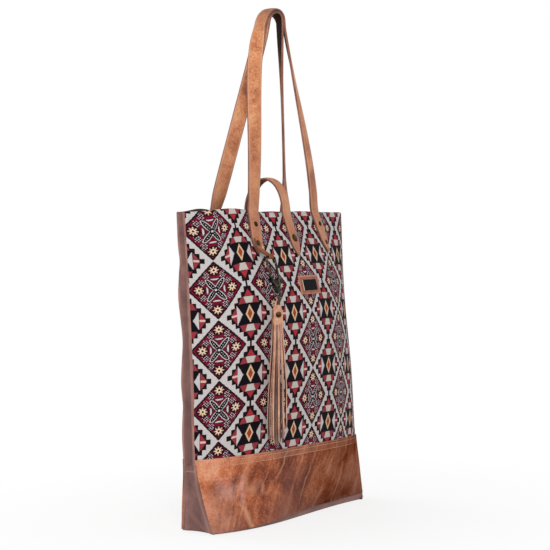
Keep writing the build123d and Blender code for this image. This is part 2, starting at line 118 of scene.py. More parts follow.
# The scene's own shapes, in millimetres, with the straps' turns and bows. Each wave is (height, reach, depth)
seam_waves = (
    (366, 13, -2.2), (318, 22, 3.0), (257, 24, -3.0), (203, 16, 1.2), (171, 12, -1.3), (128, 24, 1.8), (75, 20, -0.8)
)
print_pitch = (85.3, 81.4)
print_start = (-150.9, 25.2)
print_shear = 0.019
stitch_drops = (4.2, 11.2)
stitch_pitch = 3.4
stitch_length = 2.6
stitch_width = 0.8
gusset_foot = 0.4
gusset_foot_round = 5.0
gusset_flange = gusset_thickness * 1.1
rim_inset = 2.4
rim_tuck = 5.0
front_right_turn = math.radians(43)
back_right_turn = math.radians(62)
front_left_bow = 9.0
front_right_bow = 7.0
front_right_shares = (0.0, 0.04, 0.09, 0.16, 0.25, 0.36, 0.5, 0.66, 0.82, 0.94, 1.0)
back_right_shares = (0.0, 0.4, 0.6, 0.64, 0.65, 0.66, 0.68, 0.73, 0.82, 0.92, 1.0)
strap_crown = 1.0
fold_crown = 0.12
loop_neck = 3.4
eye_neck = 3.2
head_reach = 7.0
fringe_reach = 13.0
strand_thickness = 1.2


# The panels' faces

def eased(s):
    """A soft step from 0 to 1."""
    return s * s * (3 - 2 * s)


def ramped(value, reach):
    """0 to 1 as a value runs from 0 to reach, held at both ends."""
    return np.clip(value / reach, 0, 1)


def hump(x, middle, reach):
    return np.exp(-((x - middle) / reach)**2)


def at_height(shares, size, z):
    """Value of a level table at heights z, on a smooth curve through its levels."""
    levels = np.array(level_shares) * body_height
    values = np.array(shares) * size
    slopes = np.gradient(values, levels, edge_order=1)
    slopes[1:-1] = (values[2:] - values[:-2]) / (levels[2:] - levels[:-2])
    z = np.asarray(z, float)
    i = np.clip(np.searchsorted(levels, z, side="left") - 1, 0, len(levels) - 2)
    span = levels[i + 1] - levels[i]
    s = (z - levels[i]) / span
    bend = slopes[i] * (s**3 - 2 * s**2 + s) + slopes[i + 1] * (s**3 - s**2)
    return values[i] + (values[i + 1] - values[i]) * eased(s) + bend * span


def half_width(z):
    return at_height(half_width_shares, body_width / 2, z)


def front_seam(z):
    return at_height(front_seam_shares, body_depth, z)


def back_seam(z):
    """The back seams, drawn in and out a little along the gussets."""
    pulled = sum(depth * hump(z, height, reach) for height, reach, depth in seam_waves)
    return at_height(back_seam_shares, body_depth, z) + pulled


def panel_face(seam, middle_shares, skew_shares):
    """A panel's face over x and z: crowned from its seams to its middle, and skewed to one side."""

    def face(x, z):
        t = x / half_width(z)
        edge = seam(z)
        middle = at_height(middle_shares, body_depth, z)
        skew = at_height(skew_shares, body_depth, z)
        return edge + (middle - edge) * (1 - np.abs(t)**crown_exponent) + skew * skew_factor * t * (1 - t**2)

    return face


# Each side is its face and the way out along Y
front = (panel_face(front_seam, front_middle_shares, front_skew_shares), -1)
back = (panel_face(back_seam, back_middle_shares, [0.0] * len(level_shares)), 1)


def waves(seed, count, shortest, longest, stretch):
    """A smooth random field, stretched along z: sines of seeded length, direction and phase, long ones stronger."""
    draw = random.Random(seed)
    parts = []
    for _ in range(count):
        length = draw.uniform(shortest, longest)
        angle = draw.uniform(0, math.pi)
        turns = 2 * math.pi / length
        phase = draw.uniform(0, 2 * math.pi)
        parts.append((turns * math.cos(angle), turns * math.sin(angle) / stretch, phase, length / longest))
    total = sum(strength for *_, strength in parts)

    def field(x, z):
        return sum(strength * np.sin(kx * x + kz * z + phase) for kx, kz, phase, strength in parts) / total * 2

    return field


# Meshes

def scene_object(name, data):
    item = bpy.data.objects.new(name, data)
    bpy.context.scene.collection.objects.link(item)
    return item


def new_object(name, verts, faces, uvs=None, materials=(), picks=None):
    """A smooth mesh from points in millimetres, with a UV for each point and a material for each face."""
    mesh = bpy.data.meshes.new(name)
    points = np.asarray(verts, float) * MM
    mesh.from_pydata([tuple(p) for p in points], [], [tuple(int(i) for i in f) for f in faces])
    if uvs is not None:
        layer = mesh.uv_layers.new(name="UVMap")
        index = np.zeros(len(mesh.loops), int)
        mesh.loops.foreach_get("vertex_index", index)
        layer.data.foreach_set("uv", np.asarray(uvs, float)[index].ravel())
    for material in materials:
        mesh.materials.append(material)
    if picks is not None:
        mesh.polygons.foreach_set("material_index", np.asarray(picks, int))
    mesh.polygons.foreach_set("use_smooth", [True] * len(mesh.polygons))
    mesh.validate()
    mesh.update()
    return scene_object(name, mesh)


def finish_piece(piece, body, slot, *stands_for):
    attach(piece, body)
    if stands_for:
        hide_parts(*stands_for)


def grid_faces(rows, columns, start, flip):
    index = start + np.arange(rows * columns).reshape(rows, columns)
    quads = np.stack([index[:-1, :-1], index[:-1, 1:], index[1:, 1:], index[1:, :-1]], -1).reshape(-1, 4)
    return quads[:, ::-1] if flip else quads


def tube_faces(rows, count, flip=False):
    """Faces between rings of points, and a cap at each end."""
    index = np.arange(rows * count).reshape(rows, count)
    ahead = np.roll(index, -1, axis=1)
    sides = np.stack([index[:-1], ahead[:-1], ahead[1:], index[1:]], -1).reshape(-1, 4)
    caps = [index[0, ::-1], index[-1]]
    if flip:
        sides, caps = sides[:, [0, 3, 2, 1]], [cap[::-1] for cap in caps]
    return [*sides, *caps]


weld_distance = 1e-6


def shell(name, outer, inner, uv, materials, flip=False, picks=(0, 0, 0)):
    """A closed sheet between two grids of points, welded at the rim where they meet there.

    picks are its outer, inner and rim materials.
    """
    rows, columns = outer.shape[:2]
    size = rows * columns
    faces = [grid_faces(rows, columns, 0, flip), grid_faces(rows, columns, size, not flip)]
    index = np.arange(size).reshape(rows, columns)
    rim = np.concatenate([index[0, :], index[1:, -1], index[-1, -2::-1], index[-2:0:-1, 0]])
    ahead = np.roll(rim, -1)
    edge = np.stack([ahead, rim, rim + size, ahead + size], -1)
    faces.append(edge[:, ::-1] if flip else edge)
    verts = np.concatenate([outer.reshape(-1, 3), inner.reshape(-1, 3)])
    uvs = np.concatenate([uv.reshape(-1, 2)] * 2)
    pick = np.concatenate([np.full(len(f), p) for f, p in zip(faces, picks)])
    faces = np.concatenate(faces)
    if np.linalg.norm(verts[rim] - verts[rim + size], axis=1).max() < weld_distance:
        first = np.arange(2 * size)
        first[rim + size] = rim
        faces, pick = first[faces[:-len(rim)]], pick[:-len(rim)]
        used, places = np.unique(faces, return_inverse=True)
        verts, uvs, faces = verts[used], uvs[used], places.reshape(faces.shape)
    return new_object(name, verts, faces, uvs, materials, pick)


def stations(length, count, edge):
    """Places along a length, closer together within edge of both ends."""
    near = np.array([0.0, 0.06, 0.22, 0.5, 1.0]) * edge
    middle = np.linspace(edge, length - edge, count)
    return np.concatenate([near[:-1], middle, length - near[-2::-1]])


def panel_heights(bottom, top, count, edge):
    return bottom + stations(top - bottom, count, edge)


def rounded(places, radius):
    """Share of the full thickness at places along a length whose ends are rounded."""
    s = ramped(np.minimum(places, places[-1] - places), radius)
    return np.sqrt(1 - (1 - s)**2)


def arc_lengths(points, middle_column):
    """Lengths along rows from the middle column and along columns from the top row."""
    along = np.zeros(points.shape[:2])
    along[:, 1:] = np.cumsum(np.linalg.norm(np.diff(points, axis=1), axis=2), axis=1)
    along -= along[:, middle_column:middle_column + 1]
    down = np.zeros(points.shape[:2])
    down[:-1] = np.cumsum(np.linalg.norm(np.diff(points, axis=0), axis=2)[::-1], axis=0)[::-1]
    return along, down


def plain_uv(across, down, outward):
    return np.stack([across, -down], -1) * MM


def print_uv(across, down, outward):
    """Places in the print, in repeats. The front cloth is pulled near its upper left corner and left seam."""
    if outward < 0:
        seam_pull = hump(across, -157, 28)
        edge_pull = 6.5 * np.clip((-145 - across) / 47, 0, 1.2)**1.1
        corner = 7.0 * hump(across, -147, 30) * hump(down, 29, 38)
        lift = 2.8 * hump(across, -147, 30) * hump(down, 40, 50)
        drop = 4.5 * hump(across, -108, 26) * hump(down, 62, 30)
        across, down = across + 2.6 * seam_pull + edge_pull - corner, down - 1.5 * seam_pull - lift + drop
    u = (across - print_start[0] + print_shear * down) / print_pitch[0]
    return np.stack([u, (print_start[1] - down) / print_pitch[1]], -1)


def sheet_on(name, side, heights, edges, lift, thickness, materials, ripple, rise=None, picks=(0, 0, 0),
             uv_map=plain_uv, across=130, round_edge=2.0):
    """A sheet that follows a panel's face from edge to edge, rounded at its ends, with ripples."""
    surface, outward = side
    length = heights[-1] - heights[0]
    share = stations(2.0, across, 0.02) - 1.0
    z = np.repeat(heights[:, None], len(share), 1)
    left, right = edges(z)
    x = (left + right) / 2 + (right - left) / 2 * share
    if rise:
        z = z + rise(x, (z - heights[0]) / length)
    up = rounded(heights - heights[0], min(round_edge, length / 4))
    sideways = rounded((share + 1) * body_width / 2, round_edge)
    slope_x = (surface(x + 1, z) - surface(x - 1, z)) / 2
    slope_z = (surface(x, z + 1) - surface(x, z - 1)) / 2
    normal = np.stack([-slope_x, np.ones_like(x), -slope_z], -1) * outward
    normal /= np.linalg.norm(normal, axis=2, keepdims=True)
    core = np.stack([x, surface(x, z) + outward * lift, z], -1) + normal * (ripple(x, z) + thickness / 2)[..., None]
    body = normal * (thickness / 2 * np.outer(up, sideways))[..., None]
    outer = core + body
    along, down = arc_lengths(outer, int(np.argmin(np.abs(x[len(heights) // 2]))))
    uv = uv_map(along * -outward, down, outward)
    return shell(name, outer, core - body, uv, materials, outward > 0, picks)


# Materials

def feed(tree, value, socket):
    """Link a value to a socket, or set it there if it is a constant."""
    if isinstance(value, Number):
        value = value.socket
    if isinstance(value, bpy.types.NodeSocket):
        tree.links.new(value, socket)
    else:
        socket.default_value = value


class Number:
    """A number in a material's nodes, with plain arithmetic; & is the smaller of two numbers, | the larger."""

    def __init__(self, tree, socket):
        self.tree = tree
        self.socket = socket

    def op(self, kind, *others):
        node = self.tree.nodes.new("ShaderNodeMath")
        node.operation = kind
        for place, value in enumerate((self, *others)):
            feed(self.tree, value, node.inputs[place])
        return Number(self.tree, node.outputs[0])

    __add__ = partialmethod(op, "ADD")
    __sub__ = partialmethod(op, "SUBTRACT")
    __mul__ = partialmethod(op, "MULTIPLY")
    __truediv__ = partialmethod(op, "DIVIDE")
    __lt__ = partialmethod(op, "LESS_THAN")
    __gt__ = partialmethod(op, "GREATER_THAN")
    __and__ = partialmethod(op, "MINIMUM")
    __or__ = partialmethod(op, "MAXIMUM")
    abs = partialmethod(op, "ABSOLUTE")
    floor = partialmethod(op, "FLOOR")
    fract = partialmethod(op, "FRACT")
    sine = partialmethod(op, "SINE")

    def __rsub__(self, other):
        return (self * -1.0) + other

    def within(self, middle, reach):
        return (self - middle).abs() < reach

    def span(self, low, high, to_low=0.0, to_high=1.0):
        """The number mapped from one range to another, held at its ends."""
        node = self.tree.nodes.new("ShaderNodeMapRange")
        for place, value in enumerate((self, low, high, to_low, to_high)):
            feed(self.tree, value, node.inputs[place])
        return Number(self.tree, node.outputs[0])


def squares(first, second):
    return first * first + second * second


def linear(red, green, blue):
    """A colour given as seen, from 0 to 255, for a shader."""
    out = []
    for c in (red, green, blue):
        c /= 255
        out.append(c / 12.92 if c <= 0.04045 else ((c + 0.055) / 1.055)**2.4)
    return (*out, 1.0)


class Finish:
    """A material with a Principled shader, and helpers that lay its colour on in coats.

    Colours are given as seen, as three numbers from 0 to 255.
    """

    def __init__(self, name, **settings):
        self.material = bpy.data.materials.new(name)
        self.material.use_nodes = True
        self.tree = self.material.node_tree
        self.shader = self.tree.nodes["Principled BSDF"]
        self.colour = None
        for key, value in settings.items():
            self.wire(key.replace("_", " "), value)

    def wire(self, key, value):
        feed(self.tree, value, self.shader.inputs[key])

    def node(self, kind, inputs, **settings):
        node = self.tree.nodes.new(kind)
        for key, value in settings.items():
            setattr(node, key, value)
        for key, value in inputs.items():
            feed(self.tree, value, node.inputs[key])
        return node

    def uv(self):
        return self.node("ShaderNodeUVMap", {}, uv_map="UVMap").outputs[0]

    def place(self):
        return self.node("ShaderNodeTexCoord", {}).outputs["Object"]

    def split(self, vector):
        """The three numbers of a vector."""
        return [Number(self.tree, out) for out in self.node("ShaderNodeSeparateXYZ", {0: vector}).outputs]

    def scaled(self, vector, *scale):
        return self.node("ShaderNodeMapping", {"Vector": vector, "Scale": scale}).outputs[0]

    def turned(self, vector, angle, *scale):
        """A vector turned about Y by an angle, then scaled."""
        turn = self.node("ShaderNodeVectorRotate", {"Vector": vector, "Angle": angle}, rotation_type="Y_AXIS")
        return self.scaled(turn.outputs[0], *scale)

    def noise(self, vector, scale, detail, rough=0.55, distortion=0.0):
        inputs = {"Vector": vector, "Scale": scale, "Detail": detail, "Roughness": rough, "Distortion": distortion}
        return Number(self.tree, self.node("ShaderNodeTexNoise", inputs).outputs[0])

    def cells(self, vector, scale):
        """Distance from the walls between random cells."""
        node = self.node("ShaderNodeTexVoronoi", {"Vector": vector, "Scale": scale}, feature="DISTANCE_TO_EDGE")
        return Number(self.tree, node.outputs["Distance"])

    def ramp(self, value, *stops):
        """A colour ramp of (place, colour) stops."""
        node = self.node("ShaderNodeValToRGB", {0: value})
        elements = node.color_ramp.elements
        while len(elements) < len(stops):
            elements.new(0.5)
        for element, (place, colour) in zip(elements, stops):
            element.position = place
            element.color = linear(*colour)
        return node.outputs[0]

    def mix(self, share, first, second, blend="MIX"):
        colours = [linear(*colour) if isinstance(colour, tuple) else colour for colour in (first, second)]
        inputs = {0: share, 6: colours[0], 7: colours[1]}
        return self.node("ShaderNodeMix", inputs, data_type="RGBA", blend_type=blend).outputs[2]

    def lay(self, share, colour):
        """Cover a share of the colour so far with another."""
        self.colour = self.mix(share, self.colour, colour)

    def darken(self, tone):
        """Multiply the colour so far by a tone."""
        grey = self.node("ShaderNodeCombineColor", {0: tone, 1: tone, 2: tone})
        self.colour = self.mix(1.0, self.colour, grey.outputs[0], "MULTIPLY")

    def done(self, roughness, height, strength, distance=0.0004):
        """The material, with its colour, roughness and relief."""
        bump = self.node("ShaderNodeBump", {"Strength": strength, "Distance": distance, "Height": height})
        self.wire("Base Color", self.colour)
        self.wire("Roughness", roughness)
        self.wire("Normal", bump.outputs[0])
        return self.material


def leather(name, dark, middle, light, grain=900.0, patch=22.0, *, roughness, **settings):
    """Leather with soft patches of tone, fine pores and grain."""
    finish = Finish(name, **settings)
    place = finish.place()
    tone = finish.noise(place, patch, 6.0, 0.6, 0.6)
    finish.colour = finish.ramp(tone, (0.3, dark), (0.5, middle), (0.72, light))
    pores = finish.cells(place, grain)
    fine = finish.noise(place, grain * 0.6, 3.0)
    finish.darken(fine.span(0.35, 0.7, 0.82, 1.1))
    return finish.done(tone.span(0.3, 0.7, *roughness), pores.span(0.0, 0.25) * 0.6 + fine * 0.4, 0.25)


def metal(name, dark, light, roughness, stops=(0.35, 0.68)):
    """Worn plated metal with tarnish in patches; the gunmetal's bright patches are also painted highlights."""
    finish = Finish(name, Metallic=1.0)
    place = finish.place()
    tone = finish.noise(place, 160.0, 5.0, 0.6)
    finish.colour = finish.ramp(tone, (stops[0], dark), (stops[1], light))
    smooth, dull = roughness
    return finish.done(tone.span(0.3, 0.7, dull, smooth), finish.noise(place, 900.0, 3.0), 0.12, 0.0003)


def woven_pattern(name):
    """The jacquard print: rows of flowered diamonds between stepped bands and geometric diamonds.

    Its sizes are shares of one repeat, which is a number of threads wide.
    """
    finish = Finish(name, Specular_IOR_Level=0.06)
    paint = finish.lay
    threads = 118.0
    uv = finish.uv()
    raw_a, raw_b, _ = finish.split(uv)
    a, b = (((raw * threads).floor() + 0.5) / threads for raw in (raw_a, raw_b))
    x = (a + 0.5).fract() - 0.5
    y = (b + 0.5).fract() - 0.5
    ax = x.abs()
    ay = y.abs()
    narrow = raw_a.span(0.2, 3.2, 1.0, 0.87)
    gx = (0.5 - ax) * narrow
    gy = 0.5 - ay

    maroon = (130, 22, 52)
    dark_maroon = (48, 14, 26)
    black = (25, 17, 20)
    navy = (19, 16, 23)
    pale = (210, 204, 202)
    white = (216, 208, 208)
    cream = (245, 224, 190)
    petal = (230, 190, 164)
    brick = (154, 58, 68)
    red = (174, 52, 64)
    rust = (166, 70, 48)
    gold = (228, 194, 154)
    blush = (232, 194, 184)
    speck = (222, 200, 204)
    grey = (206, 200, 191)

    # Geometric diamond: stepped outline, points, rows of blocks, wings and a gold heart
    step_width, step_height = 0.0635, 0.082
    column = (gx / step_width).floor()
    level = ((gy - 0.045) / step_height).floor() + 1.0
    finish.colour = pale
    paint((gx < 0.02) & (gy > 0.4), black)
    paint((column + level) < 5.5, black)
    paint((gy > 0.295) & ((gx / 0.074 + (gy - 0.295) / 0.118) < 1.0), red)
    row = gy.within(0.233, 0.054)
    paint(row & (gx < 0.28 - gy * 0.52), brick)
    paint(row & (gx < gy * 0.33 - 0.005), grey)
    block = gy < 0.166
    paint(block & (gx < gy * 0.54 + 0.125), navy)
    paint((gx > gy * 0.54 + 0.128) & (gx < 0.216) & block, pale)
    paint((gx > 0.22) & (((gx - 0.22) / 0.1 + gy / 0.145) < 1.0), brick)
    paint((gy < 0.014) & gx.within(0.262, 0.042), blush)
    paint((gx / 0.077 + gy / 0.15) < 1.0, gold)
    paint((gx / 0.045 + gy / 0.092) < 1.0, rust)

    # Flowered diamond: its ground, and clusters of dots
    ax = ax / narrow
    x = x / narrow
    diamond = ax / 0.426 + ay / 0.497
    paint(diamond < 1.0, black)
    field = diamond < 0.922
    mottle = finish.noise(uv, 46.0, 3.0, 0.6)
    paint(field, finish.mix(mottle.span(0.5, 0.62, 0.0, 0.75), maroon, dark_maroon))

    def cluster(middle_x, middle_y):
        return squares((ax - middle_x) / 0.053, (ay - middle_y) / 0.058) < 1.0

    clusters = (cluster(0.2, 0.12) | cluster(0.122, 0.252)) & field
    paint(clusters, dark_maroon)
    dots_per_repeat = 24.0
    dots = squares(((ax + ay) * dots_per_repeat).fract() - 0.5, ((ax - ay) * dots_per_repeat).fract() - 0.5)
    paint(clusters & (dots < 0.085), speck)

    # Flowers in its four corners, each with a bow towards the middle
    for along, across, bow_reach in ((ax - 0.249, y, 0.13), (ay - 0.338, x, 0.158)):
        far = squares(along, across).op("SQRT")
        petals = (across.op("ARCTAN2", along) * 8.0).op("COSINE") * 0.019 + 0.056
        bow = along < -0.06
        taper = across * across * 3.6
        paint(far.within(bow_reach, 0.023 - taper) & bow & (diamond < 0.86), black)
        paint(far.within(bow_reach, 0.0125 - taper) & bow, white)
        paint(far < 0.096, dark_maroon)
        paint(far < petals, petal)
        paint(far < petals * 0.62, cream)
        paint(far < 0.018, black)

    # Leaves of the cross, outlined as one, with beads along them
    lean_x, lean_y = 0.581, 0.814
    along = ax * lean_x + ay * lean_y
    across = ax * lean_y - ay * lean_x
    for middle, reach, width, colour in (
        (0.104, 0.134, 0.051, black), (0.103, 0.126, 0.042, white), (0.1, 0.114, 0.0305, black)
    ):
        paint(squares((along - middle) / reach, across / width) < 1.0, colour)
    beads_per_repeat = 26.0
    bead = squares((along * beads_per_repeat).fract() - 0.5, across * beads_per_repeat)
    paint((bead < 0.04) & along.within(0.115, 0.06), white)
    paint(squares(ax, ay) < 0.0004, white)

    # Threads: a fine rib with slubs
    rib = (raw_a * (threads * 2 * math.pi)).sine() * (raw_b * (threads * 2 * math.pi)).sine()
    slub = finish.noise(finish.scaled(uv, 60.0, 14.0, 1.0), 4.0, 3.0)
    fleck = finish.noise(uv, 90.0, 2.0, 0.6)
    finish.darken(rib * 0.06 + slub.span(0.25, 0.75, 0.86, 1.06) * fleck.span(0.34, 0.66, 0.62, 1.12))
    return finish.done(slub.span(0.2, 0.8, 0.7, 0.92), rib * 0.5 + slub * 0.5, 0.35)


def base_leather(name):
    """Glossy pull-up leather: speckled cognac with slanted streaks, long pale creases and a pressed mark, with
    painted shade and highlights.
    """
    finish = Finish(name, Coat_Roughness=0.2)
    place = finish.place()
    x, _, z = finish.split(place)
    streak_turn = -0.42
    broad = finish.noise(finish.scaled(place, 1.0, 1.0, 1.2), 9.0, 3.0, 0.5, 0.8)
    cloud = finish.noise(place, 40.0, 5.0, 0.62, 0.7)
    fine = finish.noise(place, 330.0, 5.0, 0.7, 0.4)
    pull = finish.noise(finish.turned(place, streak_turn, 1.0, 1.0, 0.22), 70.0, 4.0, 0.62, 0.4)
    tone = broad * 0.44 + cloud * 0.12 + fine * 0.22 + pull * 0.22
    finish.colour = finish.ramp(
        tone, (0.38, (70, 26, 12)), (0.44, (132, 62, 32)), (0.5, (186, 104, 64)), (0.56, (214, 144, 108)),
        (0.63, (222, 178, 162)),
    )
    # Painted shade: darker towards the right end, away from the light; the creases and the lap follow it
    shade_to_right = x.span(-0.09, 0.09, 0.0, 0.85)
    finish.lay(shade_to_right, finish.ramp(tone, (0.4, (52, 18, 8)), (0.5, (98, 44, 24)), (0.6, (138, 82, 62))))

    # Long slanted creases and short fine ones
    warp = finish.noise(place, 26.0, 3.0) * 0.02
    shift = finish.node("ShaderNodeCombineXYZ", {0: warp, 1: warp, 2: warp}).outputs[0]
    moved = finish.node("ShaderNodeVectorMath", {0: place, 1: shift}, operation="ADD").outputs[0]
    long_crease = finish.cells(finish.turned(moved, streak_turn, 1.0, 1.0, 0.16), 21.0)
    long_lines = long_crease.span(0.0, 0.042, 1.0, 0.0) & cloud.span(0.38, 0.56)
    short_crease = finish.cells(finish.turned(moved, -0.9, 1.0, 1.0, 0.5), 95.0)
    short_lines = short_crease.span(0.0, 0.05, 1.0, 0.0) & pull.span(0.5, 0.66)
    lines = (long_lines * x.span(-0.12, 0.02, 0.35, 0.75)) | (short_lines * 0.3)
    finish.lay(lines, finish.mix(shade_to_right, (212, 156, 124), (184, 128, 102)))

    # Mark of a pocket pressed through near the left end, and a fold below it, both drawn as painted highlights
    across = (x + 0.146) / 0.0235
    along = (z - 0.0565) / 0.016
    right = (across - 1.0).abs().span(0.0, 0.24, 0.5, 0.0) & along.abs().span(0.7, 1.25, 1.0, 0.0)
    upper = (along - 1.0).abs().span(0.0, 0.2, 0.25, 0.0) & across.abs().span(0.6, 1.1, 1.0, 0.0)
    inside = (across.abs() | along.abs()).span(0.2, 1.0, 0.5, 0.0)
    finish.lay((right | upper | inside) * cloud.span(0.3, 0.6), (212, 172, 168))
    fold_highlight = (x + 0.112 + z * 0.3).abs().span(0.001, 0.007, 0.55, 0.0) & z.span(0.018, 0.04, 1.0, 0.0)
    finish.lay(fold_highlight * cloud.span(0.3, 0.55), (226, 168, 130))

    # Paler lap and cut edge along the top, and a darker foot
    _, down, _ = finish.split(finish.uv())
    lap = down.span(-0.0125, -0.0105, 0.0, 0.22) + down.span(-0.0015, -0.0005, 0.0, 0.35)
    finish.lay(lap, finish.mix(shade_to_right, (206, 146, 118), (166, 112, 92)))
    finish.lay(z.span(0.002, 0.045, 0.6, 0.0) * x.span(-0.12, 0.0, 0.2, 1.0), (82, 42, 32))

    # Mauve cast across the lower middle, and a paler left end, painted light where the lamp falls
    cast = (x + 0.052 - z * 0.6).abs().span(0.01, 0.046, 0.5, 0.0) & z.span(0.05, 0.085, 0.5, 0.0)
    finish.lay(cast * cloud.span(0.3, 0.6, 0.6, 1.0), (106, 64, 56))
    painted_light_end = x.span(-0.165, -0.115, 0.42, 0.0) & z.span(0.045, 0.07, 0.42, 0.0)
    finish.lay(painted_light_end * cloud.span(0.35, 0.6, 0.5, 1.0), (216, 160, 136))
    finish.wire("Specular IOR Level", x.span(-0.1, 0.06, 0.22, 0.0))
    finish.wire("Coat Weight", x.span(-0.1, 0.06, 0.06, 0.0))
    pores = finish.cells(place, 950.0)
    height = pores.span(0.0, 0.2) * 0.12 + fine * 0.4 + lines * -0.35
    return finish.done(tone.span(0.38, 0.62, 0.26, 0.42), height, 0.3, 0.0006)


def strap_leather(name, dark, middle, light, pale):
    """Pebbled leather of straps: mottled, edges paler with rubbing and a painted highlight, darker low down, painted
    shade at the bend.
    """
    finish = Finish(name, Specular_IOR_Level=0.3)
    place = finish.place()
    across, _, _ = finish.split(finish.uv())
    _, _, z = finish.split(place)
    mottle = finish.noise(place, 330.0, 5.0, 0.66, 0.4)
    tone = finish.noise(place, 20.0, 4.0, 0.55, 0.5) * 0.62 + mottle * 0.38
    finish.colour = finish.ramp(tone, (0.4, dark), (0.5, middle), (0.6, light))
    grain = finish.cells(place, 560.0)
    finish.lay(grain.span(0.0, 0.12, 0.3, 0.0), dark)
    edge = (across - 0.5).abs()
    # Pale edges: partly rubbed, partly a painted highlight where the crowned edges catch the light
    finish.lay((edge + mottle * 0.12).span(0.4, 0.54, 0.0, 0.8), pale)
    finish.lay((edge - 0.405).abs().span(0.0, 0.022, 0.45, 0.0), dark)
    finish.lay(z.span(0.42, 0.66, 0.54, 0.0), (154, 104, 84))
    # Painted shade over the top of the arch
    finish.lay(z.span(0.68, 0.716, 0.0, 0.55), (128, 80, 58))
    height = grain.span(0.0, 0.3) * 0.7 + mottle * 0.3
    return finish.done(mottle.span(0.3, 0.7, 0.42, 0.62), height, 0.35, 0.0005)


def side_leather(name, dark, middle, light, rolled, shaded=0.0, laps=()):
    """Gusset leather: paler where it rolls over to the seams as a painted highlight, and darker towards the base as
    painted shade.
    """
    finish = Finish(name, Specular_IOR_Level=0.3)
    place = finish.place()
    _, _, z = finish.split(place)
    u, _, _ = finish.split(finish.uv())
    tone = finish.noise(place, 24.0, 6.0, 0.6, 0.6)
    finish.colour = finish.ramp(tone, (0.3, dark), (0.5, middle), (0.72, light))
    # Painted shade: darker towards the base
    finish.lay(z.span(0.12, 0.34, shaded, 0.0), dark)
    # Painted highlight along the rolls over the seams
    roll = u.span(0.34, 0.1, 0.0, 0.75) + u.span(0.8, 0.97, 0.0, 0.35)
    finish.lay(roll * tone.span(0.25, 0.6, 0.6, 1.0), rolled)
    fine = finish.noise(place, 520.0, 3.0)
    for lap in laps:
        sewn = (z - lap).abs().span(0.0003, 0.0011, 0.7, 0.0)
        finish.lay(sewn * fine.span(0.3, 0.6, 0.5, 1.0), rolled)
    finish.lay(fine.span(0.5, 0.75, 0.0, 0.4), dark)
    pores = finish.cells(place, 800.0)
    return finish.done(tone.span(0.3, 0.7, 0.5, 0.72), pores.span(0.0, 0.25) * 0.6 + fine * 0.4, 0.25)


def label_leather(name, dark, middle, light, rim_tint, line_tint):
    """Leather of the label, paler along its rim as a painted highlight, with a pale line along the left side of its
    window.
    """
    finish = Finish(name, Specular_IOR_Level=0.3)
    place = finish.place()
    x, _, z = finish.split(place)
    off_x = x - label_centre_x * MM
    off_z = z - label_z * MM
    tone = finish.noise(place, 60.0, 5.0, 0.6, 0.6)
    fine = finish.noise(place, 700.0, 4.0, 0.6)
    finish.colour = finish.ramp(tone * 0.5 + fine * 0.5, (0.36, dark), (0.5, middle), (0.64, light))
    to_rim = (label_width / 2 * MM - off_x.abs()) & (label_height / 2 * MM - off_z.abs())
    # Painted highlight along the rim
    finish.lay((to_rim + fine * 0.001).span(0.0007, 0.0026, 0.85, 0.0), rim_tint)
    # A pale line along the left side of the window
    window_line = off_x.within(-(label_inset_width / 2 + 0.7) * MM, 0.0008)
    finish.lay((window_line & (off_z.abs() < label_inset_height / 2 * MM)) * 0.85, line_tint)
    return finish.done(fine.span(0.3, 0.7, 0.45, 0.65), fine, 0.25)


def strap_flesh(name, low, high):
    """The straps' inner face: tan like the outside, and dark near the arch as painted shade, from height low to high.
    """
    finish = Finish(name, Specular_IOR_Level=0.04)
    place = finish.place()
    _, _, z = finish.split(place)
    tone = finish.noise(place, 30.0, 6.0, 0.6, 0.6)
    finish.colour = finish.ramp(tone, (0.3, (118, 66, 40)), (0.5, (158, 94, 60)), (0.72, (188, 124, 86)))
    # Painted shade inside the arch: the inner face goes dark from height low to high
    finish.lay(z.span(low, high), finish.ramp(tone, (0.3, (12, 6, 4)), (0.5, (26, 13, 8)), (0.72, (52, 28, 18))))
    nap = finish.noise(place, 1400.0, 3.0)
    return finish.done(nap.span(0.3, 0.7, 0.62, 0.88), nap, 0.3)


cloth = woven_pattern("patterned_cloth")
lining = leather("lining", (52, 40, 36), (70, 54, 48), (88, 68, 60), 700.0, roughness=(0.7, 0.9))
cognac = strap_leather("cognac_leather", (140, 76, 44), (204, 128, 80), (236, 172, 122), (218, 160, 126))
strap_edge = leather("strap_edge", (94, 54, 40), (132, 84, 66), (164, 112, 92), roughness=(0.55, 0.75))
flesh = strap_flesh("strap_inside", 0.58, 0.67)
base = base_leather("base_leather")
mauve = leather("mauve_leather", (104, 71, 67), (128, 90, 84), (150, 109, 100), 800.0, roughness=(0.5, 0.72))
mauve_side = side_leather("mauve_side", (92, 62, 59), (126, 90, 85), (148, 107, 100), (178, 130, 116), 0.6)
mauve_base = side_leather(
    "mauve_base", (96, 66, 63), (132, 94, 88), (154, 113, 104), (186, 142, 132), laps=(0.0955, 0.0835)
)
piping = leather("seam_edge", (112, 76, 68), (146, 104, 94), (176, 132, 120), 1500.0, roughness=(0.55, 0.75))
tassel_skin = leather(
    "tassel_leather", (146, 90, 64), (196, 138, 108), (230, 180, 150), patch=60.0, roughness=(0.5, 0.7)
)
tassel_dark = leather("tassel_shaded", (38, 15, 7), (72, 36, 21), (116, 70, 50), patch=60.0, roughness=(0.5, 0.7))
tassel_edge = leather("tassel_edge", (190, 140, 118), (216, 170, 148), (232, 196, 176), roughness=(0.6, 0.8))
tassel_back = leather("tassel_flesh", (44, 18, 8), (70, 34, 20), (100, 56, 38), roughness=(0.7, 0.9))
label_skin = label_leather(
    "label_leather", (100, 54, 44), (138, 82, 68), (170, 110, 92), (208, 138, 100), (232, 214, 196)
)
